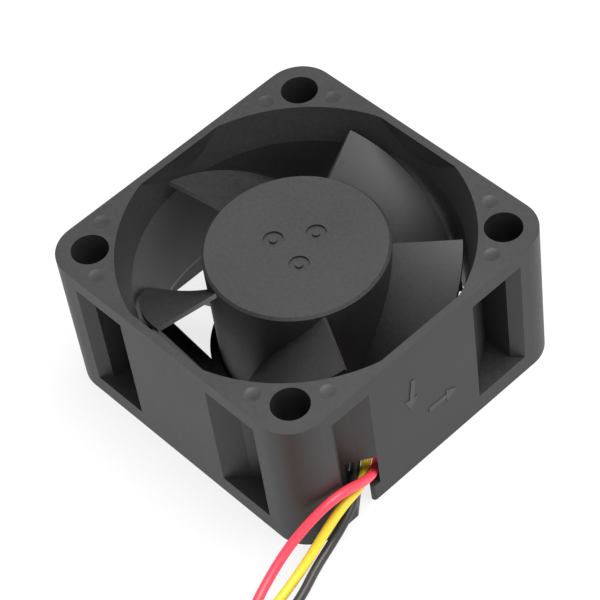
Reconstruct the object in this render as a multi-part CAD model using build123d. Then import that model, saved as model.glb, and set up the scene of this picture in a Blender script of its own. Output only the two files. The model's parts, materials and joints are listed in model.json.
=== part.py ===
from build123d import *
import math
import os

# Square axial cooling fan of the kind that cools servers and power supplies.
# Millimetres, +Z up. The origin is at the middle of the exit face, air comes in at the top,
# and the impeller turns counter-clockwise seen from above.

# Frame: the square housing
FRAME_SIDE = 40.0
FRAME_HEIGHT = 20.0
CORNER_R = 4.3
HOLE_INSET = 4.0
HOLE_D = 4.3
TOP_FLANGE = 2.0
BOTTOM_FLANGE = 2.5
THROAT_WALL = 1.4
MOUTH_EDGE = 0.1
BELL_DEPTH = 4.2
FLARE_DEPTH = 3.0
DUCT_WALL = 1.3
MID_WALL = 0.98
PANEL_WIDTH = 13.6
PANEL_SLOPE = 2.2
HOLE_WALL = 0.8
POST_CHAMFER = 1.2
CUT_PAST = 1.0

# Struts and motor base
BASE_R = 11.6
BASE_HEIGHT = 3.0
BASE_FLOOR = 1.0
BASE_RIM = 1.0
STRUT_COUNT = 3
STRUT_WIDTH = 1.8
STRUT_HEIGHT = 2.9
STRUT_OFFSET = 11.0
STRUT_AIM = 175.0
STRUT_EDGE_R = 0.5
BOSS_WALL = 1.0

# Wire channel, window and slot
WIRE_D = 1.1
WIRE_PITCH = 1.15
TUBE_SIDES = 6
BARE_SQ = 0.45
CHANNEL_AIM = -50.0
CHANNEL_OFFSET = 7.9
CHANNEL_PLAY = 0.05
CHANNEL_HEIGHT = 2.2
CHANNEL_WALL = 0.65
CHANNEL_LEAD = 0.3
WIRE_STRUT_IN = 2.0
WINDOW_TOP = 7.1
WINDOW_SLOPE = 1.9
WINDOW_DEPTH = 6.5
RISER_RUN = 4.6
SLOT_WIDTH = 1.2
LIP_R = 0.4
TINY = 0.01

# Impeller
HUB_R = 10.5
HUB_DROP = 1.1
HUB_WALL = 0.9
HUB_CROWN = 1.2
HUB_EDGE = 0.3
SKIRT_GAP = 0.5
BLADE_COUNT = 5
BLADE_SWEEP = 57.0
BLADE_LEAD_AT = 116.8
BLADE_TOP_DROP = 1.6
BLADE_BOTTOM_GAP = 1.3
BLADE_THICK = 0.9
BELLY_TURN = 0.1
BELLY_RISE = 0.68
BLADE_EDGE = 0.5
BLADE_ROOT_R = 7.9
TIP_GAP = 0.45
GATE_D = 2.35
GATE_DEPTH = 0.25
GATE_NUB_D = 0.9
GATE_RING_R = 2.75
GATE_AT = 83.0

# Rotor: yoke, magnet, shaft
YOKE_T = 0.6
MAGNET_T = 1.6
MAGNET_CHIP_GAP = 1.15
MAGNET_DROP = 1.8
YOKE_SKIRT = 0.4
AIR_GAP = 0.35
SHAFT_D = 2.0
SHAFT_FLOOR_GAP = 0.4
HUB_BOSS_R = 2.4
HUB_BOSS_HEIGHT = 1.4
SHAFT_COVER = 0.8

# Ball bearings
BEARING_D = 6.0
BEARING_HEIGHT = 2.5
BALL_D = 1.0
BALL_COUNT = 7
BALL_PLAY = 0.03
RING_T = 0.62
CAGE_PLAY = 0.08
CAGE_TOP = 0.75
CAGE_LOW = 0.2

# Bearing tube and stator
TUBE_WALL = 0.7
TUBE_LIP = 0.5
TUBE_LEDGE = 0.5
CORE_SHORT = 4.0
CORE_HUB_T = 0.9
POLE_COUNT = 4
TOOTH_W = 2.4
POLE_T = 1.0
POLE_SPAN = 74.0
POLE_AT = 20.0
INSULATOR_T = 0.7
COIL_T = 1.0
COIL_CORNER = 0.4
INSULATOR_IN = 0.2
COIL_PLAY = 0.1
PIN_SQ = 0.5
PIN_COUNT = 3

# Circuit board
BOARD_T = 0.8
BOARD_PLAY = 0.3
BOARD_BORE_PLAY = 0.1
WIRE_HEADROOM = 0.15
CORD_START = 2.0
PAD_BACK = 0.7
JOINT_SQ = 0.9
JOINT_TAPER = 22.0
JOINT_HEIGHT = 0.3

CHIP_LENGTH = 2.9
CHIP_WIDTH = 1.6
CHIP_HEIGHT = 1.0
CHIP_LIFT = 0.1
CHIP_AT = 150.0
CHIP_RING_R = 8.0
LEG_PITCH = 0.95
LEG_WIDTH = 0.4
LEG_REACH = 0.5
LEG_T = 0.15
PART_RING_R = 8.2
CAPACITOR_SIZE = (2.0, 1.2, 0.9)
RESISTOR_SIZE = (1.6, 0.8, 0.45)

# Retaining parts on the shaft
CLIP_T = 0.3
CLIP_R = 1.9
CLIP_GROOVE = 0.25
WASHER_T = 0.2
WASHER_R = 1.7
SPRING_HEIGHT = 1.0
SPRING_WIRE = 0.25
SPRING_TURNS = 1.5

# Lead: the stored coil, its tie and its connector
STORE_AT = (32.5, -35.0)
STORE_R = 6.6
STORE_COLUMNS = 3
STORE_LAYERS = 6
STORE_SIDES = 24
ENTRY_AT = 195.0
EXIT_AT = 338.0
TIE_T = 0.35
TIE_W = 1.6
TIE_AT = 60.0
PLUG_PITCH = 2.54
PLUG_LENGTH = 12.0
PLUG_HEIGHT = 5.0
PLUG_SIDE_WALL = 0.65
PLUG_AWAY = 10.0
TAIL_RUN = 4.0
TAIL_SPREAD = 0.5
TAIL_LEAD_IN = 1.5
TERMINAL_SQ = 1.7
TERMINAL_BACK = 3.0
TERMINAL_FRONT = 0.8
TERMINAL_BORE = 1.0
CRIMP_LENGTH = 3.0
PLUG_CORNER = 0.3
RIB_LENGTH = 6.6
RIB_WIDTH = 0.8
RIB_HEIGHT = 0.7

# Places worked out from the sizes
HALF = FRAME_SIDE / 2
HOLE_AT = HALF - HOLE_INSET
THROAT_R = HALF - THROAT_WALL
MOUTH_R = HALF - MOUTH_EDGE
DUCT_R = THROAT_R + DUCT_WALL
POST_IN = HOLE_AT - HOLE_D / 2 - HOLE_WALL
TIP_R = THROAT_R - TIP_GAP
HUB_TOP = FRAME_HEIGHT - HUB_DROP
HUB_UNDER = HUB_TOP - HUB_CROWN
SKIRT_Z = BASE_HEIGHT + SKIRT_GAP
BLADE_TOP = FRAME_HEIGHT - BLADE_TOP_DROP
BLADE_BOTTOM = STRUT_HEIGHT + BLADE_BOTTOM_GAP

WIRE_Z = BASE_FLOOR + WIRE_D / 2
BOARD_Z = BASE_FLOOR + WIRE_D + WIRE_HEADROOM
BOARD_TOP = BOARD_Z + BOARD_T
BOARD_R = BASE_R - BASE_RIM - BOARD_PLAY

TUBE_R = BEARING_D / 2 + TUBE_WALL
SHAFT_R = SHAFT_D / 2
SHAFT_Z = BASE_FLOOR + SHAFT_FLOOR_GAP
CLIP_Z = SHAFT_Z + CLIP_GROOVE
LOWER_Z = CLIP_Z + CLIP_T + WASHER_T
BALL_RING_R = (SHAFT_R + BEARING_D / 2) / 2
YOKE_R = HUB_R - HUB_WALL
MAGNET_R = YOKE_R - YOKE_T
STATOR_R = MAGNET_R - MAGNET_T - AIR_GAP
YOKE_TOP = HUB_UNDER
MAGNET_TOP = YOKE_TOP - YOKE_T - MAGNET_DROP
MAGNET_Z = BOARD_TOP + CHIP_LIFT + CHIP_HEIGHT + MAGNET_CHIP_GAP
MAGNET_HEIGHT = MAGNET_TOP - MAGNET_Z
CORE_HEIGHT = MAGNET_HEIGHT - CORE_SHORT
CORE_Z = MAGNET_Z + CORE_SHORT / 2
CORE_TOP = CORE_Z + CORE_HEIGHT
HUB_BOSS_Z = HUB_UNDER - YOKE_T - HUB_BOSS_HEIGHT
UPPER_Z = HUB_BOSS_Z - SPRING_HEIGHT - BEARING_HEIGHT
TUBE_TOP = UPPER_Z + BEARING_HEIGHT + TUBE_LIP
SHAFT_TOP = HUB_TOP - SHAFT_COVER

PLUG_WIDTH = 2 * PLUG_PITCH + TERMINAL_SQ + 2 * PLUG_SIDE_WALL
STORE_BASE = TIE_T
STORE_HEIGHT = STORE_LAYERS * WIRE_D
STORE_OUT = STORE_R + STORE_COLUMNS * WIRE_D / 2
STORE_IN = STORE_R - STORE_COLUMNS * WIRE_D / 2
LANE_R = STORE_OUT - WIRE_D / 2


def disc(radius, z, height, inner=0.0):
    """Upright ring or disc with its lower face at z."""
    part = Pos(0, 0, z) * extrude(Circle(radius), height)
    if inner > 0:
        part -= Pos(0, 0, z) * extrude(Circle(inner), height)
    return part


def block(x0, x1, y0, y1, z0, z1):
    """Box between three pairs of limits."""
    return Pos((x0 + x1) / 2, (y0 + y1) / 2, (z0 + z1) / 2) * Box(x1 - x0, y1 - y0, z1 - z0)


def around(part, count, start=0.0):
    """Copies of a part turned evenly about the fan's axis."""
    return [Rot(0, 0, start + 360 * step / count) * part for step in range(count)]


def square_plate(z, height):
    """Rounded square slab of the frame's outline."""
    return Pos(0, 0, z) * extrude(RectangleRounded(FRAME_SIDE, FRAME_SIDE, CORNER_R), height)


# Frame

def corner_post():
    """Column around one screw hole, with its slanted inner faces."""
    edge = POST_IN + POST_CHAMFER
    outline = Polyline((POST_IN, POST_IN), (HALF - POST_CHAMFER, POST_IN), (HALF, edge),
                       (HALF, HALF), (edge, HALF), (POST_IN, HALF - POST_CHAMFER), close=True)
    return extrude(make_face(outline), FRAME_HEIGHT)


def side_panel():
    """Flush flat in the middle of a side, sloping back to the round duct."""
    flush = PANEL_WIDTH / 2
    low = flush + PANEL_SLOPE
    deep = math.sqrt(DUCT_R ** 2 - low ** 2)
    outline = Polyline((deep - DUCT_WALL, -low), (deep, -low), (HALF, -flush),
                       (HALF, flush), (deep, low), (deep - DUCT_WALL, low), close=True)
    return extrude(make_face(outline), FRAME_HEIGHT)


def window_wall():
    """Thicker wall beside the wire window, from the flush flat to the corner post."""
    flush = -PANEL_WIDTH / 2
    right = window_edge_y()
    outline = Polyline((HALF, flush), (HALF, right), (HALF - POST_CHAMFER, right - WINDOW_SLOPE),
                       (HALF - 2 * POST_CHAMFER, -POST_IN), (HALF - WINDOW_DEPTH, -POST_IN),
                       (HALF - WINDOW_DEPTH / 2, flush), close=True)
    return extrude(make_face(outline), FRAME_HEIGHT)


def window_edge_y():
    """Where the outer side of the wire channel meets the flush side of the frame."""
    aim = math.radians(CHANNEL_AIM)
    side = CHANNEL_OFFSET + channel_width() / 2
    along = (HALF + side * math.sin(aim)) / math.cos(aim)
    return side * math.cos(aim) + along * math.sin(aim)


def channel_width():
    return 2 * WIRE_PITCH + WIRE_D + 2 * CHANNEL_PLAY


def bell(z_wide, z_throat):
    """Flared mouth, cut flat where the frame's sides would become thinner than MID_WALL."""
    rise = abs(z_throat - z_wide)
    profile = Polyline((0, z_wide), (MOUTH_R, z_wide), (THROAT_R, z_throat), (0, z_throat), close=True)
    cone = revolve(Plane.XZ * make_face(profile), Axis.Z)
    flat = FRAME_SIDE - 2 * MID_WALL
    return cone & Pos(0, 0, min(z_wide, z_throat) + rise / 2) * Box(flat, flat, rise)


def in_channel(s0, s1, half_width, z0, z1):
    """Box along the wire channel, from s0 to s1 past the point nearest to the axis."""
    return Rot(0, 0, CHANNEL_AIM) * block(s0, s1, CHANNEL_OFFSET - half_width,
                                          CHANNEL_OFFSET + half_width, z0, z1)


def reach(radius):
    """How far along the wire channel its middle line meets a radius."""
    return math.sqrt(radius ** 2 - CHANNEL_OFFSET ** 2)


def strut():
    """Plain strut: a beam tangent to the motor base with a rounded upwind edge."""
    length = math.sqrt(DUCT_R ** 2 - STRUT_OFFSET ** 2)
    beam = block(0, length, STRUT_OFFSET - STRUT_WIDTH / 2, STRUT_OFFSET + STRUT_WIDTH / 2,
                 0, STRUT_HEIGHT)
    top_edges = beam.edges().filter_by(Axis.X).group_by(Axis.Z)[-1]
    return fillet(top_edges, STRUT_EDGE_R)


def struts():
    """Plain struts, leaving out the one that the wire channel replaces."""
    turn = 360 / STRUT_COUNT
    return [Rot(0, 0, STRUT_AIM - step * turn) * strut() for step in range(STRUT_COUNT - 1)]


def wire_strut():
    """Wide strut that roofs the wire channel."""
    half = channel_width() / 2 + CHANNEL_WALL
    return in_channel(reach(BASE_R) - WIRE_STRUT_IN, reach(DUCT_R), half, 0, STRUT_HEIGHT)


def motor_base():
    """Shallow dish that carries the motor."""
    dish = disc(BASE_R, 0, BASE_HEIGHT) - disc(BASE_R - BASE_RIM, BASE_FLOOR, BASE_HEIGHT)
    return dish + disc(TUBE_R + BOSS_WALL, BASE_FLOOR, BOARD_Z - BASE_FLOOR)


def wire_cuts():
    """Channel, window and slot for the three wires."""
    half = channel_width() / 2
    wall = reach(DUCT_R)
    inner = math.sqrt((BASE_R - BASE_RIM) ** 2 - (CHANNEL_OFFSET + half) ** 2) - CHANNEL_LEAD
    return [in_channel(reach(BASE_R), wall, half, -CUT_PAST, CHANNEL_HEIGHT),
            in_channel(inner, wall, half, BASE_FLOOR, CHANNEL_HEIGHT),
            in_channel(reach(THROAT_R) - RISER_RUN, wall, half, -CUT_PAST, WINDOW_TOP),
            in_channel(wall - DUCT_WALL / 2, FRAME_SIDE, half, BOTTOM_FLANGE, WINDOW_TOP),
            in_channel(wall - DUCT_WALL / 2, FRAME_SIDE, SLOT_WIDTH / 2, -CUT_PAST, WINDOW_TOP)]


def rounded_lips(frame):
    """Frame with the slot's two outer edges rounded in plan."""
    outer = frame.edges().filter_by(Axis.Z).filter_by_position(Axis.X, HALF - TINY, HALF + TINY)
    low = outer.filter_by_position(Axis.Z, 0, BOTTOM_FLANGE)
    return fillet(low.filter_by_position(Axis.Y, -POST_IN - SLOT_WIDTH, window_edge_y()), LIP_R)


def build_frame():
    skeleton = disc(DUCT_R, 0, FRAME_HEIGHT)
    skeleton += around(side_panel(), 4)
    skeleton += window_wall()
    skeleton += around(corner_post(), 4)
    skeleton &= square_plate(0, FRAME_HEIGHT)
    skeleton += square_plate(0, BOTTOM_FLANGE)
    skeleton += square_plate(FRAME_HEIGHT - TOP_FLANGE, TOP_FLANGE)
    skeleton -= disc(THROAT_R, -CUT_PAST, FRAME_HEIGHT + 2 * CUT_PAST)
    skeleton -= bell(FRAME_HEIGHT, FRAME_HEIGHT - BELL_DEPTH)
    skeleton -= bell(0, FLARE_DEPTH)
    ring = disc(DUCT_R, 0, STRUT_HEIGHT, BASE_R - BASE_RIM / 2)
    beams = [beam & ring for beam in struts() + [wire_strut()]]
    skeleton += beams
    skeleton += motor_base()
    skeleton -= disc(TUBE_R, BASE_FLOOR, FRAME_HEIGHT)
    for x, y in corners():
        skeleton -= Pos(x, y, 0) * disc(HOLE_D / 2, -CUT_PAST, FRAME_HEIGHT + 2 * CUT_PAST)
    skeleton -= wire_cuts()
    return rounded_lips(skeleton)


def corners():
    return [(sx * HOLE_AT, sy * HOLE_AT) for sx in (-1, 1) for sy in (-1, 1)]


# Impeller

def blade_section(plane_x):
    """Cambered section of the blade in the plane at plane_x, a flat edge at each end."""
    half = math.radians(BLADE_SWEEP / 2)
    lead = Vector(plane_x * math.tan(half), BLADE_TOP)
    trail = Vector(-plane_x * math.tan(half), BLADE_BOTTOM)
    height = BLADE_TOP - BLADE_BOTTOM
    belly = Vector(plane_x * math.tan(half * BELLY_TURN), BLADE_BOTTOM + BELLY_RISE * height)
    chord = trail - lead
    off = Vector(-chord.Y, chord.X).normalized()
    edge = off * (BLADE_EDGE / 2)
    thick = off * (BLADE_THICK / 2)
    upper = ThreePointArc(lead - edge, belly - thick, trail - edge)
    lower = ThreePointArc(trail + edge, belly + thick, lead + edge)
    rim = [upper, Line(upper @ 1, lower @ 0), lower, Line(lower @ 1, upper @ 0)]
    return Plane(origin=(plane_x, 0, 0), x_dir=(0, 1, 0), z_dir=(1, 0, 0)) * make_face(rim)


def blade():
    """One blade, trimmed to the hub and the tip circle."""
    body = loft([blade_section(BLADE_ROOT_R), blade_section(TIP_R + CUT_PAST)], ruled=True)
    return body & disc(TIP_R, 0, FRAME_HEIGHT, HUB_R - HUB_WALL / 2)


def gate_marks():
    """Three shallow round recesses in the hub's face, each with a small nub in it."""
    ring = disc(GATE_D / 2, HUB_TOP - GATE_DEPTH, 1.0, GATE_NUB_D / 2)
    return around(Pos(GATE_RING_R, 0, 0) * ring, 3, GATE_AT)


def build_impeller():
    hub = disc(HUB_R, SKIRT_Z, HUB_TOP - SKIRT_Z)
    hub = chamfer(hub.edges().group_by(Axis.Z)[-1], HUB_EDGE)
    hub -= disc(YOKE_R, SKIRT_Z, HUB_UNDER - SKIRT_Z)
    hub += disc(HUB_BOSS_R, HUB_BOSS_Z, HUB_UNDER - HUB_BOSS_Z)
    hub -= disc(SHAFT_R, HUB_BOSS_Z, SHAFT_TOP - HUB_BOSS_Z)
    middle = BLADE_LEAD_AT - BLADE_SWEEP / 2
    hub += around(blade(), BLADE_COUNT, middle)
    return hub - gate_marks()


# Rotor

def build_rotor_yoke():
    low = MAGNET_Z - YOKE_SKIRT
    cup = disc(YOKE_R, low, YOKE_TOP - low) - disc(MAGNET_R, low, YOKE_TOP - YOKE_T - low)
    return cup - disc(HUB_BOSS_R, MAGNET_Z, FRAME_HEIGHT)


def build_magnet_ring():
    return disc(MAGNET_R, MAGNET_Z, MAGNET_HEIGHT, MAGNET_R - MAGNET_T)


def build_shaft():
    rod = disc(SHAFT_R, SHAFT_Z, SHAFT_TOP - SHAFT_Z)
    groove = disc(SHAFT_D, CLIP_Z, CLIP_T, SHAFT_R - CLIP_GROOVE)
    return rod - groove


def build_retaining_ring():
    """Flat clip in the shaft's groove, open on one side."""
    inside = SHAFT_R - CLIP_GROOVE
    mouth = inside * 0.8
    ring = disc(CLIP_R, CLIP_Z, CLIP_T, inside)
    return ring - block(0, CLIP_R + 1, -mouth, mouth, 0, LOWER_Z)


def build_thrust_washer():
    return disc(WASHER_R, CLIP_Z + CLIP_T, WASHER_T, SHAFT_R)


def build_preload_spring():
    """Flat-wire coil spring between the upper bearing's inner ring and the hub."""
    radius = SHAFT_R + RING_T / 2
    rise = SPRING_HEIGHT - SPRING_WIRE
    path = Helix(pitch=rise / SPRING_TURNS, height=rise, radius=radius)
    wire = Plane(origin=path @ 0, x_dir=(1, 0, 0), z_dir=path % 0) * Rectangle(SPRING_WIRE, SPRING_WIRE * 0.9)
    return Pos(0, 0, HUB_BOSS_Z - SPRING_HEIGHT + SPRING_WIRE / 2) * sweep(wire, path, is_frenet=True)


# Ball bearings

def raceway(z):
    """Groove that both rings of one bearing carry for the balls."""
    groove = Pos(BALL_RING_R, z + BEARING_HEIGHT / 2) * ball_outline(BALL_D + 2 * BALL_PLAY)
    return revolve(Plane.XZ * groove, Axis.Z)


def ball_outline(size):
    """Eight-sided outline that stands for a ball's circle."""
    return RegularPolygon(size / 2, 8, major_radius=False, rotation=22.5)


def build_outer_ring(z):
    return disc(BEARING_D / 2, z, BEARING_HEIGHT, BEARING_D / 2 - RING_T) - raceway(z)


def build_inner_ring(z):
    return disc(SHAFT_R + RING_T, z, BEARING_HEIGHT, SHAFT_R) - raceway(z)


def ball():
    """Ball with 26 flat faces, as three crossing eight-sided bars make it."""
    bar = extrude(ball_outline(BALL_D), BALL_D / 2, both=True)
    return bar & Rot(90, 0, 0) * bar & Rot(0, 90, 0) * bar


def build_balls(z):
    return around(Pos(BALL_RING_R, 0, z + BEARING_HEIGHT / 2) * ball(), BALL_COUNT)


def build_cage(z):
    """Crown cage: a thin ring above the balls with fingers between them."""
    middle = z + BEARING_HEIGHT / 2
    inner = SHAFT_R + RING_T + CAGE_PLAY
    outer = BEARING_D / 2 - RING_T - CAGE_PLAY
    half = BALL_D / 2 + CAGE_PLAY
    crown = disc(outer, middle - CAGE_LOW, CAGE_LOW + CAGE_TOP, inner)
    pocket = block(0, BEARING_D, -half, half, middle - BALL_D, middle + half)
    return crown - around(pocket, BALL_COUNT)


# Bearing tube and stator

def build_bearing_tube():
    """Brass tube pressed into the motor base, with a ledge between the two bearings."""
    tube = disc(TUBE_R, BASE_FLOOR, TUBE_TOP - BASE_FLOOR, BEARING_D / 2)
    low = LOWER_Z + BEARING_HEIGHT
    return tube + disc(TUBE_R, low, UPPER_Z - low, BEARING_D / 2 - TUBE_LEDGE)


def stator_plan(tip_in=0.0):
    """Four T-shaped poles around a ring that fits the bearing tube."""
    face_r = STATOR_R - tip_in
    ring = Circle(TUBE_R + CORE_HUB_T) - Circle(TUBE_R)
    reach_x = (TUBE_R + face_r - POLE_T / 2) / 2
    tooth = Pos(reach_x, 0) * Rectangle(face_r - POLE_T / 2 - TUBE_R - CORE_HUB_T / 2, TOOTH_W)
    half = POLE_SPAN / 2
    far = face_r * 1.5
    wedge = make_face(Polyline((0, 0), (far, -far * math.tan(math.radians(half))),
                               (far, far * math.tan(math.radians(half))), close=True))
    shoe = (Circle(face_r) - Circle(face_r - POLE_T)) & wedge
    plan = ring
    for turn in range(POLE_COUNT):
        place = Rot(0, 0, POLE_AT + turn * 360 / POLE_COUNT)
        plan += place * tooth
        plan += place * shoe
    return plan


def build_stator_core():
    return Pos(0, 0, CORE_Z) * extrude(stator_plan(), CORE_HEIGHT)


def build_insulator(z):
    plate = Pos(0, 0, z) * extrude(stator_plan(INSULATOR_IN), INSULATOR_T)
    for angle in pin_places():
        plate -= pin_at(angle, z - CUT_PAST, INSULATOR_T + 2 * CUT_PAST)
    return plate


def build_windings():
    """One coil around each tooth, over the core and both insulators."""
    shoe_in = STATOR_R - INSULATOR_IN - POLE_T
    inner = TUBE_R + CORE_HUB_T + COIL_PLAY
    outer = math.sqrt(shoe_in ** 2 - (TOOTH_W / 2 + COIL_T) ** 2) - COIL_PLAY
    low = CORE_Z - INSULATOR_T
    high = CORE_TOP + INSULATOR_T
    bundle = block(inner, outer, -TOOTH_W / 2 - COIL_T, TOOTH_W / 2 + COIL_T, low - COIL_T, high + COIL_T)
    bundle = chamfer(bundle.edges().filter_by(Axis.X), COIL_CORNER)
    bundle -= block(inner - CUT_PAST, outer + CUT_PAST, -TOOTH_W / 2, TOOTH_W / 2, low, high)
    return around(bundle, POLE_COUNT, POLE_AT)


def pin_places():
    """Angles of the terminal pins, between the poles."""
    gap = 360 / POLE_COUNT
    return [POLE_AT + gap * (0.5 + step) for step in range(1, PIN_COUNT + 1)]


def pin_r():
    return TUBE_R + CORE_HUB_T / 2


def pin_at(angle, z, height):
    """Square terminal pin, or the hole for one."""
    return Rot(0, 0, angle) * Pos(pin_r(), 0, z + height / 2) * Box(PIN_SQ, PIN_SQ, height)


def build_terminal_pins():
    return [pin_at(angle, BOARD_Z, CORE_Z - BOARD_Z) for angle in pin_places()]


# Circuit board

def build_circuit_board():
    board = disc(BOARD_R, BOARD_Z, BOARD_T, TUBE_R + BOARD_BORE_PLAY)
    for angle in pin_places():
        board -= pin_at(angle, BOARD_Z - CUT_PAST, BOARD_T + 2 * CUT_PAST)
    for x, y in wire_pads():
        board -= bare_end(x, y, 0, FRAME_HEIGHT)
    return board


def channel_point(s, lane):
    """Plan position along the channel for one of the three wires, lane -1, 0 or 1."""
    place = Vector(s, CHANNEL_OFFSET + lane * WIRE_PITCH, 0).rotate(Axis.Z, CHANNEL_AIM)
    return place.X, place.Y


def wire_pads():
    return [channel_point(CORD_START - PAD_BACK, lane) for lane in (-1, 0, 1)]


def bare_end(x, y, z0, z1):
    """Upright stretch of tinned conductor, drawn square like the slit it is soldered in."""
    half = BARE_SQ / 2
    return block(x - half, x + half, y - half, y + half, z0, z1)


def wire_end(lane):
    """Bared wire end that turns up through the board to its solder joint."""
    x, y = channel_point(CORD_START - PAD_BACK, lane)
    start = channel_point(CORD_START, lane)
    aim = Plane(origin=(*start, WIRE_Z), z_dir=(x - start[0], y - start[1], 0))
    tail = aim * extrude(Rectangle(BARE_SQ, BARE_SQ), PAD_BACK)
    return bare_end(x, y, WIRE_Z - BARE_SQ / 2, BOARD_TOP + JOINT_HEIGHT) + tail


def build_solder_joints():
    """Small fillets of solder around the wire ends and the terminal pins."""
    mound = Pos(0, 0, BOARD_TOP) * extrude(Rectangle(JOINT_SQ, JOINT_SQ), JOINT_HEIGHT, taper=JOINT_TAPER)
    joints = [Pos(x, y, 0) * mound - bare_end(x, y, 0, FRAME_HEIGHT) for x, y in wire_pads()]
    for angle in pin_places():
        joints.append(Rot(0, 0, angle) * Pos(pin_r(), 0, 0) * mound - pin_at(angle, 0, FRAME_HEIGHT))
    return joints


def on_board(angle, radius, part):
    """Part laid on the board with its length across the radius."""
    return Rot(0, 0, angle) * Pos(radius, 0, BOARD_TOP) * Rot(0, 0, 90) * part


def build_driver_chip():
    """Small moulded chip with the field sensor, near the magnet's edge."""
    half = CHIP_WIDTH / 2
    body = block(-CHIP_LENGTH / 2, CHIP_LENGTH / 2, -half, half, CHIP_LIFT, CHIP_LIFT + CHIP_HEIGHT)
    return on_board(CHIP_AT, CHIP_RING_R, body)


def build_chip_legs():
    near = CHIP_WIDTH / 2
    half = LEG_WIDTH / 2
    leg = block(-half, half, near, near + LEG_REACH, 0, LEG_T)
    leg += block(-half, half, near, near + LEG_T, 0, CHIP_LIFT + CHIP_HEIGHT / 2)
    row = [Pos(step * LEG_PITCH, 0, 0) * leg for step in (-1, 0, 1)]
    return [on_board(CHIP_AT, CHIP_RING_R, Rot(0, 0, turn) * one) for turn in (0, 180) for one in row]


def chip_part(angle, size):
    """Small block-shaped part, soldered flat to the board."""
    length, width, height = size
    return on_board(angle, PART_RING_R, block(-length / 2, length / 2, -width / 2, width / 2, 0, height))


def build_capacitors():
    return [chip_part(angle, CAPACITOR_SIZE) for angle in (190, 225)]


def build_resistors():
    return [chip_part(angle, RESISTOR_SIZE) for angle in (255, 275, 295)]


# Lead

def store_point(angle, radius, z):
    turn = math.radians(angle)
    return (STORE_AT[0] + radius * math.cos(turn), STORE_AT[1] + radius * math.sin(turn), z)


def entry_z(wire):
    return STORE_BASE + WIRE_D * (wire + 0.5)


def exit_z(wire):
    return STORE_BASE + WIRE_D * (STORE_LAYERS / 2 + wire + 0.5)


# Each wire's points from the window to the stored coil, chosen by hand
BLACK_RUN = [(19.7, -12.3, 3.15), (20.75, -14.9, 2.4), (20.95, -17.4, 0.9), (21.8, -20.7, 0.6),
             (23.2, -24.0, 0.6), (24.2, -28.2, 0.6), (24.2, -32.6, 0.75)]
YELLOW_RUN = [(19.9, -11.6, 4.3), (20.75, -14.5, 5.4), (20.8, -17.2, 4.0), (20.95, -19.9, 2.2),
              (21.3, -23.0, 1.0), (22.0, -26.8, 0.65), (22.9, -30.6, 1.0), (24.1, -33.6, 1.95)]
RED_RUN = [(20.3, -11.2, 5.3), (20.8, -14.0, 7.3), (20.8, -16.9, 7.7), (20.2, -19.7, 6.1),
           (19.9, -22.6, 4.4), (20.5, -26.2, 3.1), (21.9, -29.9, 2.7), (23.8, -33.4, 3.1)]
RUNS = [BLACK_RUN, YELLOW_RUN, RED_RUN]
WIRE_NAMES = ["black_wire", "yellow_wire", "red_wire"]


def wire_points(wire):
    """Route of one wire from the board to the stored coil."""
    lane = wire - 1
    inside = [(*channel_point(CORD_START, lane), WIRE_Z),
              (*channel_point(CORD_START + 5.0, lane + 0.02), WIRE_Z + 0.03),
              (*channel_point(CORD_START + 10.0, lane - 0.02), WIRE_Z),
              (*channel_point(CORD_START + 13.3, lane), WIRE_Z + 0.75),
              (*channel_point(CORD_START + 16.6, lane), BOTTOM_FLANGE + WIRE_D / 2 + 0.1)]
    return inside + RUNS[wire] + [store_point(ENTRY_AT, LANE_R, entry_z(wire))]


def tail_points(wire):
    """Route of one wire from the stored coil to the connector."""
    start = Vector(*store_point(EXIT_AT, LANE_R, exit_z(wire)))
    along, across = plug_axes()
    end = plug_back() + across * ((wire - 1) * PLUG_PITCH) + along * TERMINAL_BACK
    near = end - along * (TERMINAL_BACK + TAIL_LEAD_IN)
    fan_out = start + along * TAIL_RUN + across * ((wire - 1) * TAIL_SPREAD)
    return [tuple(start), tuple(fan_out), tuple(near), tuple(end)]


def plug_axes():
    turn = math.radians(EXIT_AT + 90)
    return Vector(math.cos(turn), math.sin(turn), 0), Vector(math.sin(turn), -math.cos(turn), 0)


def plug_back():
    """Middle of the connector's wire side."""
    along, across = plug_axes()
    start = Vector(*store_point(EXIT_AT, LANE_R, 0))
    return start + along * PLUG_AWAY + Vector(0, 0, PLUG_HEIGHT / 2)


def rounded_path(points):
    """Straight runs joined by tangent arcs as large as the runs allow."""
    spots = [Vector(*point) for point in points]
    radii = []
    for before, here, after in zip(spots, spots[1:], spots[2:]):
        turn = math.radians((here - before).get_angle(after - here))
        shorter = min((here - before).length, (after - here).length)
        radii.append(0.45 * shorter / math.tan(turn / 2))
    return FilletPolyline(*spots, radius=radii)


def tube(points):
    path = rounded_path(points)
    return sweep((path ^ 0) * RegularPolygon(WIRE_D / 2, TUBE_SIDES), path)


def build_wires():
    """Each wire as two tubes, before and after the stored coil."""
    wires = {name: tube(wire_points(wire)) for wire, name in enumerate(WIRE_NAMES)}
    tails = {name + "_end": tube(tail_points(wire)) for wire, name in enumerate(WIRE_NAMES)}
    return wires | tails


def build_stored_coil():
    """Outer shape of the wound length of all three wires."""
    ring = RegularPolygon(STORE_OUT, STORE_SIDES) - RegularPolygon(STORE_IN, STORE_SIDES)
    body = extrude(ring, STORE_HEIGHT)
    body = chamfer(body.edges().group_by(Axis.Z)[0] + body.edges().group_by(Axis.Z)[-1], WIRE_D / 3)
    return Pos(STORE_AT[0], STORE_AT[1], STORE_BASE) * body


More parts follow.
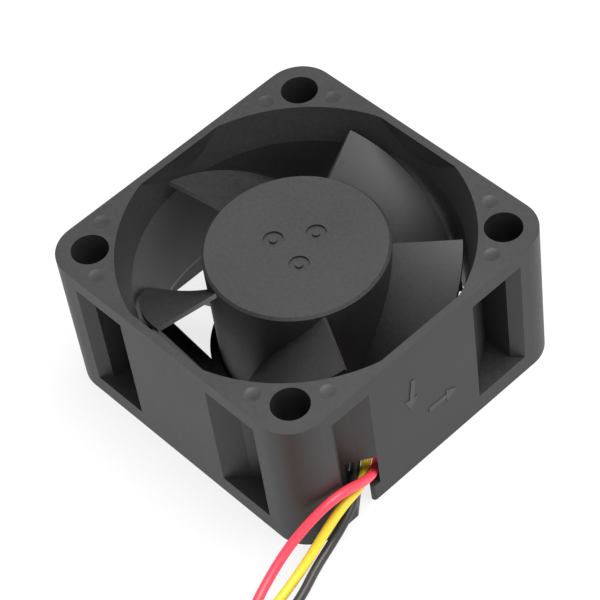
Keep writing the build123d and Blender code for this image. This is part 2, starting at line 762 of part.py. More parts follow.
def build_wire_tie():
    """Flat band around the stored coil."""
    inside = STORE_IN - TIE_W / 2 * math.tan(math.pi / STORE_SIDES)
    outer = block(inside - TIE_T, STORE_OUT + TIE_T, -TIE_W / 2, TIE_W / 2, 0, STORE_HEIGHT + 2 * TIE_T)
    outer = chamfer(outer.edges().filter_by(Axis.Y), TIE_T)
    band = outer - block(inside, STORE_OUT, -TIE_W, TIE_W, STORE_BASE, STORE_BASE + STORE_HEIGHT)
    return Pos(STORE_AT[0], STORE_AT[1], 0) * Rot(0, 0, TIE_AT) * band


def plug_place():
    along, across = plug_axes()
    return Plane(origin=plug_back() - Vector(0, 0, PLUG_HEIGHT / 2), x_dir=along, z_dir=(0, 0, 1))


def build_plug_housing():
    """Three-way connector housing with a cavity for each terminal and two polarising ribs."""
    body = block(0, PLUG_LENGTH, -PLUG_WIDTH / 2, PLUG_WIDTH / 2, 0, PLUG_HEIGHT)
    body = chamfer(body.edges().filter_by(Axis.X), PLUG_CORNER)
    middle = PLUG_HEIGHT / 2
    half = TERMINAL_SQ / 2
    for lane in (-1, 0, 1):
        y = lane * PLUG_PITCH
        body -= block(-CUT_PAST, PLUG_LENGTH + CUT_PAST, y - half, y + half, middle - half, middle + half)
    for lane in (-0.5, 0.5):
        y = lane * PLUG_PITCH
        body += block(PLUG_LENGTH - RIB_LENGTH, PLUG_LENGTH, y - RIB_WIDTH / 2, y + RIB_WIDTH / 2,
                      PLUG_HEIGHT - PLUG_SIDE_WALL, PLUG_HEIGHT + RIB_HEIGHT)
    return plug_place() * body


def build_terminals():
    """Folded contact at the end of each wire, with a square bore for the mating pin."""
    middle = PLUG_HEIGHT / 2
    half = TERMINAL_SQ / 2
    box = block(TERMINAL_BACK, PLUG_LENGTH - TERMINAL_FRONT, -half, half, middle - half, middle + half)
    bore = TERMINAL_BORE / 2
    box -= block(TERMINAL_BACK + CRIMP_LENGTH, PLUG_LENGTH, -bore, bore, middle - bore, middle + bore)
    return [plug_place() * Pos(0, lane * PLUG_PITCH, 0) * box for lane in (-1, 0, 1)]


def build_all():
    """Every separate piece by name."""
    wires = build_wires()
    pieces = {
        "frame": build_frame(),
        "impeller": build_impeller(),
        "rotor_yoke": build_rotor_yoke(),
        "magnet_ring": build_magnet_ring(),
        "shaft": build_shaft(),
        "retaining_ring": build_retaining_ring(),
        "thrust_washer": build_thrust_washer(),
        "preload_spring": build_preload_spring(),
        "lower_outer_ring": build_outer_ring(LOWER_Z),
        "lower_inner_ring": build_inner_ring(LOWER_Z),
        "lower_balls": build_balls(LOWER_Z),
        "lower_cage": build_cage(LOWER_Z),
        "upper_outer_ring": build_outer_ring(UPPER_Z),
        "upper_inner_ring": build_inner_ring(UPPER_Z),
        "upper_balls": build_balls(UPPER_Z),
        "upper_cage": build_cage(UPPER_Z),
        "bearing_tube": build_bearing_tube(),
        "stator_core": build_stator_core(),
        "upper_insulator": build_insulator(CORE_TOP),
        "lower_insulator": build_insulator(CORE_Z - INSULATOR_T),
        "windings": build_windings(),
        "terminal_pins": build_terminal_pins(),
        "circuit_board": build_circuit_board(),
        "wire_ends": [wire_end(lane) for lane in (-1, 0, 1)],
        "solder_joints": build_solder_joints(),
        "driver_chip": build_driver_chip(),
        "chip_legs": build_chip_legs(),
        "capacitors": build_capacitors(),
        "resistors": build_resistors(),
        "stored_coil": build_stored_coil(),
        "wire_tie": build_wire_tie(),
        "plug_housing": build_plug_housing(),
        "plug_terminals": build_terminals(),
    }
    return pieces | wires


def main():
    os.makedirs("parts", exist_ok=True)
    for name, shape in build_all().items():
        solid = Compound(children=list(shape)) if isinstance(shape, list) else shape
        export_step(solid, os.path.join("parts", name + ".step"))


main()
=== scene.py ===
"""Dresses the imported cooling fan: wires, moulded marks, materials, floor, light and camera."""

import json
import math

import bmesh
import bpy
from bpy.props import FloatProperty, FloatVectorProperty, PointerProperty
from mathutils import Matrix, Vector

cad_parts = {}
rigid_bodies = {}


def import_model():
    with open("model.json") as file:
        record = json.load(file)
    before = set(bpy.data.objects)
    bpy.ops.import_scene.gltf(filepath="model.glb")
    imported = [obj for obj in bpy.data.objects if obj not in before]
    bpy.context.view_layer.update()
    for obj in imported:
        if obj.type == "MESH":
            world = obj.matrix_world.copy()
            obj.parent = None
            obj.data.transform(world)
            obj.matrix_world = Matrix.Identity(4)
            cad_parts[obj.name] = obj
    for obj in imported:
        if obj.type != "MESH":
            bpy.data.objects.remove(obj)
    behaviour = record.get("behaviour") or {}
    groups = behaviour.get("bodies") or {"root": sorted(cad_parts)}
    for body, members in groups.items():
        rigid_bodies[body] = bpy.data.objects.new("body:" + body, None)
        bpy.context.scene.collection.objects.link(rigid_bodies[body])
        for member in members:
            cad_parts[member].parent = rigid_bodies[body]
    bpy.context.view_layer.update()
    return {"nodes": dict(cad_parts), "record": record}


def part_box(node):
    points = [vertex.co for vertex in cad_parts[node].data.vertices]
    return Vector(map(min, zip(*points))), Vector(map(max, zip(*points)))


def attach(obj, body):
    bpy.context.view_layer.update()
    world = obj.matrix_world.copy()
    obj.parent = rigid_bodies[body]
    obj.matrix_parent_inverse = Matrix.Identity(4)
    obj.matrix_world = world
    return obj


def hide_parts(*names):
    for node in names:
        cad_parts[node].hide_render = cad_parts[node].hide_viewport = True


bl_info = {
    "name": "Cooling Fan",
    "version": (1, 0, 0),
    "blender": (4, 5, 0),
    "location": "View3D > Sidebar > Cooling Fan",
    "description": "Dresses a small square cooling fan with its wires, marks and finishes",
    "category": "Object",
}

MM = 0.001

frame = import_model()
frame_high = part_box("frame")[1]
top_z = frame_high.z
side_x = frame_high.x


# Sizes and colours that a user would change

class LeadSettings(bpy.types.PropertyGroup):
    """The three wires and their stored coil."""

    wire_diameter: FloatProperty(
        name="Wire diameter", description="Outside of each wire's insulation",
        default=1.1 * MM, unit="LENGTH")
    lane_pitch: FloatProperty(
        name="Lane pitch", description="Distance between the wires in the fan's channel",
        default=1.15 * MM, unit="LENGTH")
    outer_turn: FloatProperty(
        name="Outer turn", description="Radius of the coil's outermost turns",
        default=7.7 * MM, unit="LENGTH")
    lead_length: FloatProperty(
        name="Lead length", description="Length of each wire from the circuit board to its contact",
        default=320 * MM, unit="LENGTH")
    black: FloatVectorProperty(
        name="Black wire", description="Insulation of the ground wire", subtype="COLOR",
        default=(0.018, 0.018, 0.02))
    yellow: FloatVectorProperty(
        name="Yellow wire", description="Insulation of the speed signal wire", subtype="COLOR",
        default=(0.83, 0.66, 0.03))
    red: FloatVectorProperty(
        name="Red wire", description="Insulation of the supply wire", subtype="COLOR",
        default=(0.86, 0.045, 0.09))


class MarkSettings(bpy.types.PropertyGroup):
    """Raised arrows on the side and ejector marks on the rim."""

    height: FloatProperty(
        name="Mark height", description="How far the arrows stand out of the side",
        default=0.12 * MM, unit="LENGTH")
    arrow_width: FloatProperty(
        name="Arrow shaft", description="Width of an arrow's shaft",
        default=0.62 * MM, unit="LENGTH")
    head_width: FloatProperty(
        name="Arrow head", description="Width of an arrow's head",
        default=1.9 * MM, unit="LENGTH")
    ejector_diameter: FloatProperty(
        name="Ejector mark", description="Diameter of the marks that the mould's pins leave",
        default=1.9 * MM, unit="LENGTH")


class PlasticSettings(bpy.types.PropertyGroup):
    """The black moulded plastic of the frame and the impeller."""

    colour: FloatVectorProperty(
        name="Plastic", description="Colour of the black plastic", subtype="COLOR",
        default=(0.017, 0.017, 0.018))
    grain: FloatProperty(
        name="Grain size", description="Size of the moulded grain on the faces",
        default=0.22 * MM, unit="LENGTH")
    roughness: FloatProperty(
        name="Roughness", description="How matt the plastic is", default=0.5, min=0.0, max=1.0,
        subtype="FACTOR")


class StageSettings(bpy.types.PropertyGroup):
    """Floor, light and backdrop."""

    floor_size: FloatProperty(
        name="Floor size", description="Side of the square floor", default=4.0, unit="LENGTH")
    softbox_power: FloatProperty(
        name="Softbox", description="Power of the large lamp overhead", default=15.0, unit="POWER")
    side_power: FloatProperty(
        name="Side lamp", description="Power of the lamp beside the camera", default=1.6, unit="POWER")
    sky: FloatProperty(
        name="Surroundings", description="Strength of the light from all round", default=0.55)


def settings(name):
    return getattr(bpy.context.scene, name)


# Shader expressions

class Amount:
    """A number or socket in a material, which adds Math nodes when it is used in a sum."""

    def __init__(self, finish, socket):
        self.finish = finish
        self.socket = socket

    def maths(self, operation, *values):
        node = self.finish.node("ShaderNodeMath", {"operation": operation}, *values)
        return Amount(self.finish, node.outputs[0])

    def __add__(self, other):
        return self.maths("ADD", self, other)

    def __radd__(self, other):
        return self.maths("ADD", other, self)

    def __sub__(self, other):
        return self.maths("SUBTRACT", self, other)

    def __rsub__(self, other):
        return self.maths("SUBTRACT", other, self)

    def __mul__(self, other):
        return self.maths("MULTIPLY", self, other)

    def __rmul__(self, other):
        return self.maths("MULTIPLY", other, self)

    def wave(self):
        """Sine of this number."""
        return self.maths("SINE", self)

    def between(self, low, high):
        """0 below low, 1 above high, smooth in between."""
        node = self.finish.node(
            "ShaderNodeMapRange", {"interpolation_type": "SMOOTHSTEP"}, self, low, high)
        return Amount(self.finish, node.outputs[0])


class NodeSheet:
    """The nodes of a material or of the world."""

    def __init__(self, owner):
        owner.use_nodes = True
        self.nodes = owner.node_tree.nodes
        self.links = owner.node_tree.links

    def node(self, kind, choices=None, *values, **named):
        """Add a node: its choices first, then its sockets by order or by name."""
        node = self.nodes.new(kind)
        for choice, value in (choices or {}).items():
            setattr(node, choice, value)
        for place, value in list(enumerate(values)) + list(named.items()):
            self.feed(node.inputs[place], value)
        return node

    def feed(self, socket, value):
        """Give a socket a link or a value."""
        if isinstance(value, Amount):
            value = value.socket
        if isinstance(value, bpy.types.NodeSocket):
            self.links.new(value, socket)
        else:
            socket.default_value = value


class Finish(NodeSheet):
    """One material, built node by node."""

    def __init__(self, name, **shader):
        self.material = bpy.data.materials.new(name)
        super().__init__(self.material)
        self.shader = self.nodes["Principled BSDF"]
        for socket, value in shader.items():
            self.feed(self.shader.inputs[socket.replace("_", " ")], value)

    def place(self):
        return self.node("ShaderNodeTexCoord").outputs["Object"]

    def noise(self, size, detail=2.0, roughness=0.5):
        """Noise with spots of about this size, in metres."""
        node = self.node("ShaderNodeTexNoise", None, Vector=self.place(), Scale=0.5 / size,
                         Detail=detail, Roughness=roughness)
        return Amount(self, node.outputs["Fac"])

    def axis(self, name):
        node = self.node("ShaderNodeSeparateXYZ", None, self.place())
        return Amount(self, node.outputs[name])

    def mix(self, amount, first, second):
        """Blend two colours."""
        node = self.node("ShaderNodeMix", {"data_type": "RGBA"})
        self.feed(node.inputs["Factor"], amount)
        colours = [socket for socket in node.inputs if socket.type == "RGBA"]
        for socket, colour in zip(colours, (first, second)):
            self.feed(socket, colour)
        return [socket for socket in node.outputs if socket.type == "RGBA"][0]

    def colour(self, value):
        self.feed(self.shader.inputs["Base Color"], value)

    def roughness(self, value):
        self.feed(self.shader.inputs["Roughness"], value)

    def bump(self, height, depth, strength=1.0):
        """Relief of this depth in metres."""
        node = self.node("ShaderNodeBump", None, Strength=strength, Distance=depth, Height=height)
        self.feed(self.shader.inputs["Normal"], node.outputs["Normal"])


def rgba(colour, share=1.0):
    return (*[min(1.0, part * share) for part in colour], 1.0)


# Materials, one for each finish in the record

def moulded(name, colour, grain, roughness, relief=0.5):
    """Matt plastic with the fine grain of a spark-eroded mould."""
    finish = Finish(name)
    fine = finish.noise(grain, 3.0, 0.65)
    broad = finish.noise(grain * 24)
    shade = 0.6 * fine + 0.4 * broad
    finish.colour(finish.mix(shade.between(0.3, 0.7), rgba(colour, 0.78), rgba(colour, 1.26)))
    finish.roughness(roughness + 0.16 * (fine - 0.5) + 0.1 * (broad - 0.5))
    finish.bump(fine, grain * 0.06, relief)
    return finish.material


def black_plastic():
    plastic = settings("fan_plastic")
    return moulded("black_plastic", plastic.colour, plastic.grain, plastic.roughness)


def worn_plastic():
    """The same plastic pressed smooth and paler by the mould's ejector pins."""
    plastic = settings("fan_plastic")
    colour = [part * 1.25 for part in plastic.colour]
    return moulded("pin_mark_plastic", colour, plastic.grain * 2, 0.42, 0.15)


def insulation(name, colour):
    """Satin wire insulation, a little mottled, with faint drawing lines."""
    finish = Finish(name, Specular_IOR_Level=0.45)
    mottle = finish.noise(0.9 * MM)
    fine = finish.noise(0.12 * MM, 3.0)
    finish.colour(finish.mix(mottle.between(0.25, 0.75), rgba(colour, 0.9), rgba(colour, 1.08)))
    finish.roughness(0.36 + 0.14 * (fine - 0.5) + 0.1 * (mottle - 0.5))
    finish.bump(fine, 0.006 * MM, 0.4)
    return finish.material


def metal(name, colour, roughness, line=0.12, across="Z", metallic=1.0):
    """Metal with fine tool lines that run across one axis."""
    finish = Finish(name, Metallic=metallic)
    lines = (finish.axis(across) * (math.tau / (line * MM))).wave()
    cloud = finish.noise(0.5 * MM, 4.0)
    finish.colour(finish.mix(cloud.between(0.3, 0.7), rgba(colour, 0.85), rgba(colour, 1.1)))
    finish.roughness(roughness + 0.08 * (cloud - 0.5) + 0.03 * lines)
    finish.bump(lines, 0.002 * MM, 0.5)
    return finish.material


def laminations():
    """Edges of stacked steel sheets, with a dark gap between them."""
    finish = Finish("lamination_steel", Metallic=0.9)
    sheet = 0.35 * MM
    gap = (finish.axis("Z") * (math.tau / sheet)).wave().between(0.75, 0.97)
    cloud = finish.noise(0.4 * MM, 3.0)
    steel = finish.mix(cloud, (0.30, 0.30, 0.32, 1), (0.44, 0.43, 0.43, 1))
    finish.colour(finish.mix(gap, steel, (0.05, 0.045, 0.04, 1)))
    finish.roughness(0.42 + 0.25 * gap)
    finish.bump(1.0 - gap, 0.03 * MM)
    return finish.material


def winding_copper():
    """Enamelled copper, its turns laid side by side out along each pole, with painted shade in the
    grooves between the turns.
    """
    finish = Finish("copper", Metallic=0.85, Coat_Weight=0.4, Coat_Roughness=0.15)
    flat = finish.node("ShaderNodeVectorMath", {"operation": "MULTIPLY"}, finish.place(), (1, 1, 0))
    radius = finish.node("ShaderNodeVectorMath", {"operation": "LENGTH"}, flat.outputs["Vector"])
    turn = 0.19 * MM
    rounded = (Amount(finish, radius.outputs["Value"]) * (math.tau / turn)).wave()
    cloud = finish.noise(0.6 * MM)
    copper = finish.mix(cloud, (0.60, 0.25, 0.11, 1), (0.78, 0.38, 0.18, 1))
    # Painted shade: the colour darkens to deep brown in the grooves between neighbouring turns
    finish.colour(finish.mix(rounded.between(-1.0, -0.3), (0.12, 0.05, 0.03, 1), copper))
    finish.roughness(0.3 + 0.1 * (cloud - 0.5))
    finish.bump(rounded, 0.05 * MM)
    return finish.material


def board_green():
    """Solder resist over copper tracks, which show as a paler pattern."""
    finish = Finish("board", Coat_Weight=0.3, Coat_Roughness=0.2)
    cells = finish.node("ShaderNodeTexVoronoi", {"distance": "CHEBYCHEV"}, Vector=finish.place(),
                        Scale=0.55 / MM)
    track = Amount(finish, cells.outputs["Distance"]).between(0.30, 0.36)
    finish.colour(finish.mix(track, (0.03, 0.20, 0.09, 1), (0.015, 0.10, 0.045, 1)))
    finish.roughness(0.3 + 0.1 * track)
    finish.bump(1.0 - track, 0.02 * MM)
    return finish.material


def magnet_ferrite():
    """Bonded ferrite: dark, slightly brown and dusty."""
    finish = Finish("magnet")
    grit = finish.noise(0.15 * MM, 5.0, 0.7)
    finish.colour(finish.mix(grit.between(0.3, 0.7), (0.045, 0.04, 0.04, 1), (0.12, 0.105, 0.10, 1)))
    finish.roughness(0.62 + 0.2 * (grit - 0.5))
    finish.bump(grit, 0.02 * MM)
    return finish.material


def make_materials():
    """Every finish of the record by its slot's name."""
    lead = settings("fan_lead")
    return {
        "black_plastic": black_plastic(),
        "brass": metal("brass", (0.72, 0.52, 0.24), 0.3),
        "bearing_steel": metal("bearing_steel", (0.64, 0.64, 0.66), 0.18, 0.05),
        "spring_steel": metal("spring_steel", (0.42, 0.42, 0.44), 0.3),
        "zinc_steel": metal("zinc_steel", (0.60, 0.61, 0.64), 0.38, 0.2),
        "cage_plastic": moulded("cage_plastic", (0.70, 0.62, 0.44), 0.1 * MM, 0.45),
        "magnet": magnet_ferrite(),
        "lamination_steel": laminations(),
        "insulator_plastic": moulded("insulator_plastic", (0.74, 0.71, 0.62), 0.15 * MM, 0.5),
        "copper": winding_copper(),
        "tinned_metal": metal("tinned_metal", (0.70, 0.70, 0.73), 0.3, 0.3),
        "board": board_green(),
        "chip_black": moulded("chip_black", (0.025, 0.025, 0.027), 0.08 * MM, 0.55),
        "ceramic": moulded("ceramic", (0.42, 0.30, 0.19), 0.08 * MM, 0.35),
        "black_insulation": insulation("black_insulation", lead.black),
        "yellow_insulation": insulation("yellow_insulation", lead.yellow),
        "red_insulation": insulation("red_insulation", lead.red),
        "tie_plastic": moulded("tie_plastic", (0.02, 0.02, 0.02), 0.1 * MM, 0.4),
        "plug_plastic": moulded("plug_plastic", (0.78, 0.76, 0.69), 0.15 * MM, 0.42),
    }


class FAN_OT_finishes(bpy.types.Operator):
    """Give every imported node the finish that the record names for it."""

    bl_idname = "fan.finishes"
    bl_label = "Finishes"

    def execute(self, context):
        finishes = make_materials()
        for part in frame["record"]["subparts"]:
            node = frame["nodes"][part["node"]]
            node.data.materials.clear()
            node.data.materials.append(finishes[part["material_slot"]])
        return {"FINISHED"}


# Tools for new pieces

def deselect_all():
    for thing in bpy.context.view_layer.objects:
        thing.select_set(False)


def name_piece(name):
    """Name the piece that was just added, and leave it alone selected."""
    piece = bpy.context.view_layer.objects.active
    piece.name = name
    piece.data.name = name
    return piece


def pick(piece, keep, kind="faces"):
    """In edit mode, select only the faces or edges that keep says yes to."""
    mesh = bmesh.from_edit_mesh(piece.data)
    bpy.ops.mesh.select_mode(type="FACE" if kind == "faces" else "EDGE")
    bpy.ops.mesh.select_all(action="DESELECT")
    for item in getattr(mesh, kind):
        item.select_set(keep(item))
    bmesh.update_edit_mesh(piece.data)


def settle(piece, turn, spot):
    """Turn and move the piece's mesh, so that its object stays at the origin."""
    piece.data.transform(Matrix.Translation(spot) @ turn)
    piece.data.update()


def finish_piece(piece, material, body):
    piece.data.materials.clear()
    piece.data.materials.append(bpy.data.materials[material])
    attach(piece, body)


def middle(edge):
    return (edge.verts[0].co + edge.verts[1].co) / 2


# Moulded arrows on the side with the wire window

SIDE_OUT = Vector((1, 0, 0))
ARROW_SUNK = 0.03 * MM
HEAD_LENGTH_SHARE = 0.8
HEAD_STEP = 0.01 * MM
TIP_SHARE = 0.04
EDGE_SHARE = 0.4
ARROWS = {
    "flow_arrow": ((-2.6, 14.5), (-3.4, 10.2)),
    "spin_arrow": ((-0.8, 7.4), (3.4, 7.4)),
}


def block_arrow(name, length):
    """Flat arrow along +X in its own plane: a strip whose end is drawn out to a barbed head."""
    marks = settings("fan_marks")
    deselect_all()
    bpy.ops.mesh.primitive_plane_add(size=1.0)
    arrow = name_piece(name)
    head = marks.head_width * HEAD_LENGTH_SHARE
    neck = length - head
    bpy.ops.object.mode_set(mode="EDIT")
    pick(arrow, lambda edge: True, "edges")
    bpy.ops.transform.resize(value=(neck, marks.arrow_width, 1.0))
    bpy.ops.transform.translate(value=(neck / 2, 0, 0))
    pick(arrow, lambda edge: middle(edge).x > neck - HEAD_STEP, "edges")
    bpy.ops.mesh.extrude_region_move(TRANSFORM_OT_translate={"value": (HEAD_STEP, 0, 0)})
    bpy.ops.transform.resize(value=(1.0, marks.head_width / marks.arrow_width, 1.0))
    bpy.ops.mesh.extrude_region_move(TRANSFORM_OT_translate={"value": (head, 0, 0)})
    bpy.ops.transform.resize(value=(1.0, TIP_SHARE, 1.0))
    bpy.ops.mesh.select_all(action="SELECT")
    bpy.ops.mesh.extrude_region_move(TRANSFORM_OT_translate={"value": (0, 0, marks.height)})
    bpy.ops.mesh.select_all(action="SELECT")
    bpy.ops.mesh.normals_make_consistent(inside=False)
    bpy.ops.object.mode_set(mode="OBJECT")
    soften(arrow, marks.height * EDGE_SHARE)
    return arrow


def soften(piece, width):
    """Small rounded edges, as a mould leaves."""
    edge = piece.modifiers.new("edges", "BEVEL")
    edge.width = width
    edge.segments = 2
    edge.limit_method = "ANGLE"
    bpy.ops.object.modifier_apply(modifier=edge.name)


def on_side(along):
    """Turn that lays a piece drawn on the floor flat against the +X side."""
    return Matrix((along, SIDE_OUT.cross(along), SIDE_OUT)).transposed().to_4x4()


class FAN_OT_arrows(bpy.types.Operator):
    """Mould the air flow and rotation arrows on the side with the wire window."""

    bl_idname = "fan.arrows"
    bl_label = "Arrows"

    def execute(self, context):
        for name, ends in ARROWS.items():
            start, end = [Vector((0, *place)) * MM for place in ends]
            arrow = block_arrow(name, (end - start).length)
            spot = Vector((side_x - ARROW_SUNK, start.y, start.z))
            settle(arrow, on_side((end - start).normalized()), spot)
            finish_piece(arrow, "black_plastic", "housing")
        return {"FINISHED"}


# Ejector marks on the rim

PIN_SPOTS = ((12.3, 17.8), (17.7, 12.4), (-18.2, -12.4), (-12.6, -18.0), (12.1, -17.7),
             (17.7, -12.2), (-12.3, 17.8), (-17.7, 12.3))
PIN_PROUD = 0.02 * MM
PIN_RIM = 0.12 * MM
PIN_STEP = 0.05 * MM
PIN_DISH_SHARE = 0.7
PIN_SIDES = 40
PIN_SMOOTH = math.radians(25)


class FAN_OT_pin_marks(bpy.types.Operator):
    """Press the marks of the mould's ejector pins into the rim around the screw holes."""

    bl_idname = "fan.pin_marks"
    bl_label = "Ejector marks"

    def execute(self, context):
        worn_plastic()
        first = self.draw_mark()
        for number, (x, y) in enumerate(PIN_SPOTS, 1):
            mark = first.copy()
            mark.data = first.data.copy()
            mark.name = "pin_mark_%d" % number
            context.scene.collection.objects.link(mark)
            settle(mark, Matrix.Identity(4), Vector((x * MM, y * MM, top_z)))
            finish_piece(mark, "pin_mark_plastic", "housing")
        bpy.data.objects.remove(first)
        return {"FINISHED"}

    def draw_mark(self):
        """Thin disc with a raised rim, as a pin slightly short of the face leaves."""
        radius = settings("fan_marks").ejector_diameter / 2
        deselect_all()
        bpy.ops.mesh.primitive_cylinder_add(vertices=PIN_SIDES, radius=radius, depth=2 * PIN_PROUD)
        mark = name_piece("pin_mark")
        bpy.ops.object.mode_set(mode="EDIT")
        pick(mark, lambda face: face.normal.z > 0.9)
        bpy.ops.mesh.inset(thickness=PIN_RIM, depth=0)
        bpy.ops.mesh.inset(thickness=PIN_STEP, depth=-PIN_PROUD * PIN_DISH_SHARE)
        bpy.ops.object.mode_set(mode="OBJECT")
        bpy.ops.object.shade_smooth_by_angle(angle=PIN_SMOOTH)
        return mark


# Wires, from the circuit board through the window to the coil and the connector

LANE_OFFSET = 7.9
LANE_AIM = math.radians(-50)
CHANNEL_RUN = ((2.0, 0, 1.55), (7.0, 0.02, 1.58), (12.0, -0.02, 1.55), (15.3, 0, 2.3), (18.6, 0, 3.15))
CORNER_RUNS = {
    "black": [(19.7, -12.3, 3.15), (20.75, -14.9, 2.4), (20.95, -17.4, 0.9), (21.8, -20.7, 0.6),
              (23.2, -24.0, 0.6), (24.2, -28.2, 0.6), (24.2, -32.6, 0.75)],
    "yellow": [(19.9, -11.6, 4.3), (20.75, -14.5, 5.4), (20.8, -17.2, 4.0), (20.95, -19.9, 2.2),
               (21.3, -23.0, 1.0), (22.0, -26.8, 0.65), (22.9, -30.6, 1.0), (24.1, -33.6, 1.95)],
    "red": [(20.3, -11.2, 5.3), (20.8, -14.0, 7.3), (20.8, -16.9, 7.7), (20.2, -19.7, 6.1),
            (19.9, -22.6, 4.4), (20.5, -26.2, 3.1), (21.9, -29.9, 2.7), (23.8, -33.4, 3.1)],
}
COIL_MIDDLE = (32.5, -35.0)
COIL_BASE = 0.35
COIL_LAYERS = 3
COIL_TURNS = 6
ENTRY_AT = 195.0
EXIT_AT = 338.0
POINTS_PER_TURN = 16
STEP_SHARE = 1 / 6
PLUG_PITCH = 2.54
PLUG_AWAY = 10.0
PLUG_MIDDLE = 2.5
TERMINAL_BACK = 3.0
TAIL_RUN = 4.0
TAIL_SPREAD = 0.5
TAIL_LEAD_IN = 1.5


def in_lane(s, lane, z):
    """Point in the fan's wire channel, s along it and z above the exit face."""
    across = LANE_OFFSET + lane * settings("fan_lead").lane_pitch / MM
    x = s * math.cos(LANE_AIM) - across * math.sin(LANE_AIM)
    y = s * math.sin(LANE_AIM) + across * math.cos(LANE_AIM)
    return (x, y, z)


def smooth_step(share):
    share = min(1.0, max(0.0, share))
    return share * share * (3 - 2 * share)


def coil_point(turn, wire, diameter, outer):
    """Point of a wire's coil after so many turns: in by three columns, up, and out again."""
    entry_turns = (EXIT_AT - ENTRY_AT) / 360
    column = 0.0
    for step in (1, 2, 3):
        column += smooth_step((turn - step) / STEP_SHARE + 1)
    for step in (3, 4, 5):
        column -= smooth_step((turn - step - entry_turns) / STEP_SHARE + (0 if step == 3 else 1))
    climb = smooth_step((turn - 3) / entry_turns)
    radius = (outer - column * diameter) / math.cos(math.pi / POINTS_PER_TURN)
    angle = math.radians(ENTRY_AT + 360 * turn)
    return (COIL_MIDDLE[0] + radius * math.cos(angle), COIL_MIDDLE[1] + radius * math.sin(angle),
            COIL_BASE + diameter * (wire + 0.5 + COIL_LAYERS * climb))


def coil_points(wire):
    lead = settings("fan_lead")
    turns = COIL_TURNS + (EXIT_AT - ENTRY_AT) / 360
    count = round(turns * POINTS_PER_TURN)
    diameter, outer = lead.wire_diameter / MM, lead.outer_turn / MM
    return [coil_point(turns * step / count, wire, diameter, outer) for step in range(count + 1)]


def tail_points(wire, start):
    """From the coil's exit to the contact in the connector."""
    turn = math.radians(EXIT_AT + 90)
    along = Vector((math.cos(turn), math.sin(turn), 0))
    across = Vector((math.sin(turn), -math.cos(turn), 0))
    leave = math.radians(EXIT_AT)
    outer = settings("fan_lead").outer_turn / MM
    back = Vector((COIL_MIDDLE[0] + outer * math.cos(leave), COIL_MIDDLE[1] + outer * math.sin(leave),
                   PLUG_MIDDLE)) + along * PLUG_AWAY
    lane = wire - 1
    end = back + across * (lane * PLUG_PITCH) + along * TERMINAL_BACK
    near = end - along * (TERMINAL_BACK + TAIL_LEAD_IN)
    fan_out = Vector(start) + along * TAIL_RUN + across * (lane * TAIL_SPREAD)
    return [tuple(fan_out), tuple(near), tuple(end)]


def wire_points(wire, colour):
    """The whole route of one wire, in millimetres."""
    lane = wire - 1
    inside = [in_lane(s, lane + shift, z) for s, shift, z in CHANNEL_RUN]
    coil = coil_points(wire)
    return inside + CORNER_RUNS[colour] + coil + tail_points(wire, coil[-1])


def draw_wire(name, points, diameter):
    """One smooth NURBS line through the route, with a round section."""
    curve = bpy.data.curves.new(name, "CURVE")
    curve.dimensions = "3D"
    curve.bevel_depth = diameter / 2
    curve.bevel_resolution = 4
    curve.resolution_u = 6
    curve.use_fill_caps = True
    spline = curve.splines.new("NURBS")
    spline.points.add(len(points) - 1)
    for point, (x, y, z) in zip(spline.points, points):
        point.co = (x * MM, y * MM, z * MM, 1.0)
    spline.order_u = 3
    spline.use_endpoint_u = True
    wire = bpy.data.objects.new(name, curve)
    bpy.context.scene.collection.objects.link(wire)
    return wire


class FAN_OT_lead(bpy.types.Operator):
    """Lay the three wires from the board to the stored coil and the connector."""

    bl_idname = "fan.lead"
    bl_label = "Lead"

    def execute(self, context):
        lead = settings("fan_lead")
        for wire, colour in enumerate(("black", "yellow", "red")):
            points = wire_points(wire, colour)
            cord = draw_wire(colour + "_lead", points, lead.wire_diameter)
            finish = colour + "_insulation"
            finish_piece(cord, finish, "housing")
            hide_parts(colour + "_wire", colour + "_wire_end", "stored_coil")
        return {"FINISHED"}


# Floor, light and camera

WHITE = (1, 1, 1, 1)
SHADOW_SHARE = 0.2
OVERHEAD_AT, OVERHEAD_AIM, OVERHEAD_SIZE = (0.15, 0.25, 0.9), (0, 0, 0), 0.8
BESIDE_AT, BESIDE_AIM, BESIDE_SIZE = (0.7, -0.5, 0.45), (0, 0, 0.01), 0.5
CAMERA_AT = (140.609, -105.389, 217.023)
CAMERA_RIGHT = (0.68846, 0.71767, -0.10471)
CAMERA_UP = (-0.50710, 0.57954, 0.63795)
CAMERA_BACK = (0.51852, -0.38610, 0.76293)
CAMERA_LENS = 145.63
CAMERA_SENSOR = 36.0


def pale_floor():
    """White to the camera and in reflections, with the fan's shadow left on it."""
    finish = Finish("floor", Roughness=0.9, Base_Color=(0.8, 0.8, 0.8, 1))
    path = finish.node("ShaderNodeLightPath").outputs
    seen = Amount(finish, path["Is Camera Ray"]) + Amount(finish, path["Is Glossy Ray"])
    seen = seen + Amount(finish, path["Is Transmission Ray"])
    glow = finish.node("ShaderNodeEmission", None, Color=WHITE, Strength=1.0)
    mixed = finish.node("ShaderNodeMixShader", None, seen * (1 - SHADOW_SHARE),
                        finish.shader.outputs["BSDF"], glow.outputs["Emission"])
    finish.feed(finish.nodes["Material Output"].inputs["Surface"], mixed.outputs["Shader"])
    return finish.material


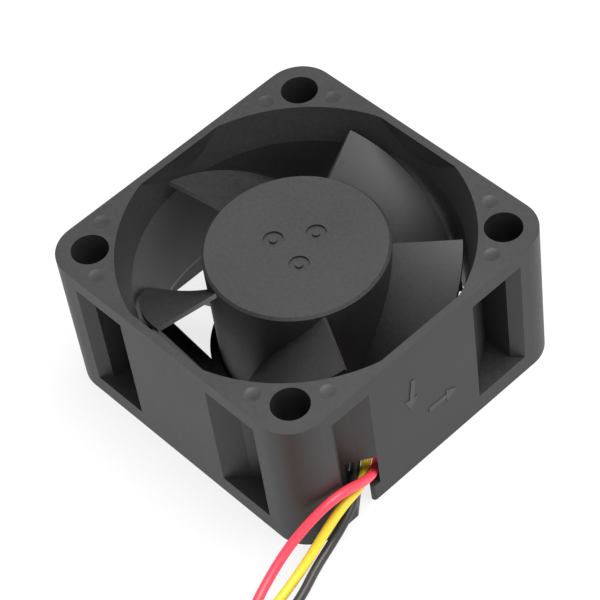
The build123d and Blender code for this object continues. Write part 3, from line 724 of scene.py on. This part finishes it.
def light_world():
    """White where the camera or a reflection sees it, softer light for everything else."""
    world = bpy.data.worlds.new("surroundings")
    bpy.context.scene.world = world
    sheet = NodeSheet(world)
    soft = sheet.nodes["Background"]
    sheet.feed(soft.inputs["Color"], WHITE)
    sheet.feed(soft.inputs["Strength"], settings("fan_stage").sky)
    white = sheet.node("ShaderNodeBackground", None, Color=WHITE)
    path = sheet.node("ShaderNodeLightPath")
    mixed = sheet.node("ShaderNodeMixShader", None, path.outputs["Is Camera Ray"],
                       soft.outputs["Background"], white.outputs["Background"])
    sheet.feed(sheet.nodes["World Output"].inputs["Surface"], mixed.outputs["Shader"])


def softbox(name, spot, aim, size, power):
    """Square lamp that faces a point."""
    lamp = bpy.data.lights.new(name, "AREA")
    lamp.shape = "SQUARE"
    lamp.size = size
    lamp.energy = power
    stand = bpy.data.objects.new(name, lamp)
    stand.location = spot
    stand.rotation_euler = (Vector(aim) - Vector(spot)).to_track_quat("-Z", "Y").to_euler()
    bpy.context.scene.collection.objects.link(stand)


def photo_camera():
    """Camera at the photograph's place, fitted to the frame's corners."""
    camera = bpy.data.cameras.new("camera")
    camera.lens = CAMERA_LENS
    camera.sensor_width = CAMERA_SENSOR
    camera.clip_start = 10 * MM
    stand = bpy.data.objects.new("camera", camera)
    turn = Matrix((CAMERA_RIGHT, CAMERA_UP, CAMERA_BACK)).transposed().to_4x4()
    stand.matrix_world = Matrix.Translation(Vector(CAMERA_AT) * MM) @ turn
    bpy.context.scene.collection.objects.link(stand)
    bpy.context.scene.camera = stand


class FAN_OT_stage(bpy.types.Operator):
    """Set up the pale floor, the soft light and the camera."""

    bl_idname = "fan.stage"
    bl_label = "Stage"

    def execute(self, context):
        stage = settings("fan_stage")
        deselect_all()
        bpy.ops.mesh.primitive_plane_add(size=stage.floor_size)
        floor = name_piece("floor")
        floor.data.materials.append(pale_floor())
        light_world()
        softbox("overhead", OVERHEAD_AT, OVERHEAD_AIM, OVERHEAD_SIZE, stage.softbox_power)
        softbox("beside", BESIDE_AT, BESIDE_AIM, BESIDE_SIZE, stage.side_power)
        photo_camera()
        context.scene.view_settings.view_transform = "Standard"
        return {"FINISHED"}


class FAN_PT_panel(bpy.types.Panel):
    """Everything that dresses the fan."""

    bl_label = "Cooling Fan"
    bl_idname = "FAN_PT_panel"
    bl_space_type = "VIEW_3D"
    bl_region_type = "UI"
    bl_category = "Cooling Fan"

    def draw(self, context):
        for group in GROUPS:
            for prop in GROUPS[group].__annotations__:
                self.layout.prop(getattr(context.scene, group), prop)
        for operator in OPERATORS:
            self.layout.operator(operator.bl_idname)


GROUPS = {
    "fan_lead": LeadSettings,
    "fan_marks": MarkSettings,
    "fan_plastic": PlasticSettings,
    "fan_stage": StageSettings,
}
OPERATORS = (FAN_OT_finishes, FAN_OT_arrows, FAN_OT_pin_marks, FAN_OT_lead, FAN_OT_stage)


def register():
    for kind in (*GROUPS.values(), *OPERATORS, FAN_PT_panel):
        bpy.utils.register_class(kind)
    for name, kind in GROUPS.items():
        setattr(bpy.types.Scene, name, PointerProperty(type=kind))


def unregister():
    for name in GROUPS:
        delattr(bpy.types.Scene, name)
    for kind in reversed((*GROUPS.values(), *OPERATORS, FAN_PT_panel)):
        bpy.utils.unregister_class(kind)


def main():
    register()
    bpy.ops.fan.finishes()
    bpy.ops.fan.arrows()
    bpy.ops.fan.pin_marks()
    bpy.ops.fan.lead()
    bpy.ops.fan.stage()


if __name__ == "__main__":
    main()
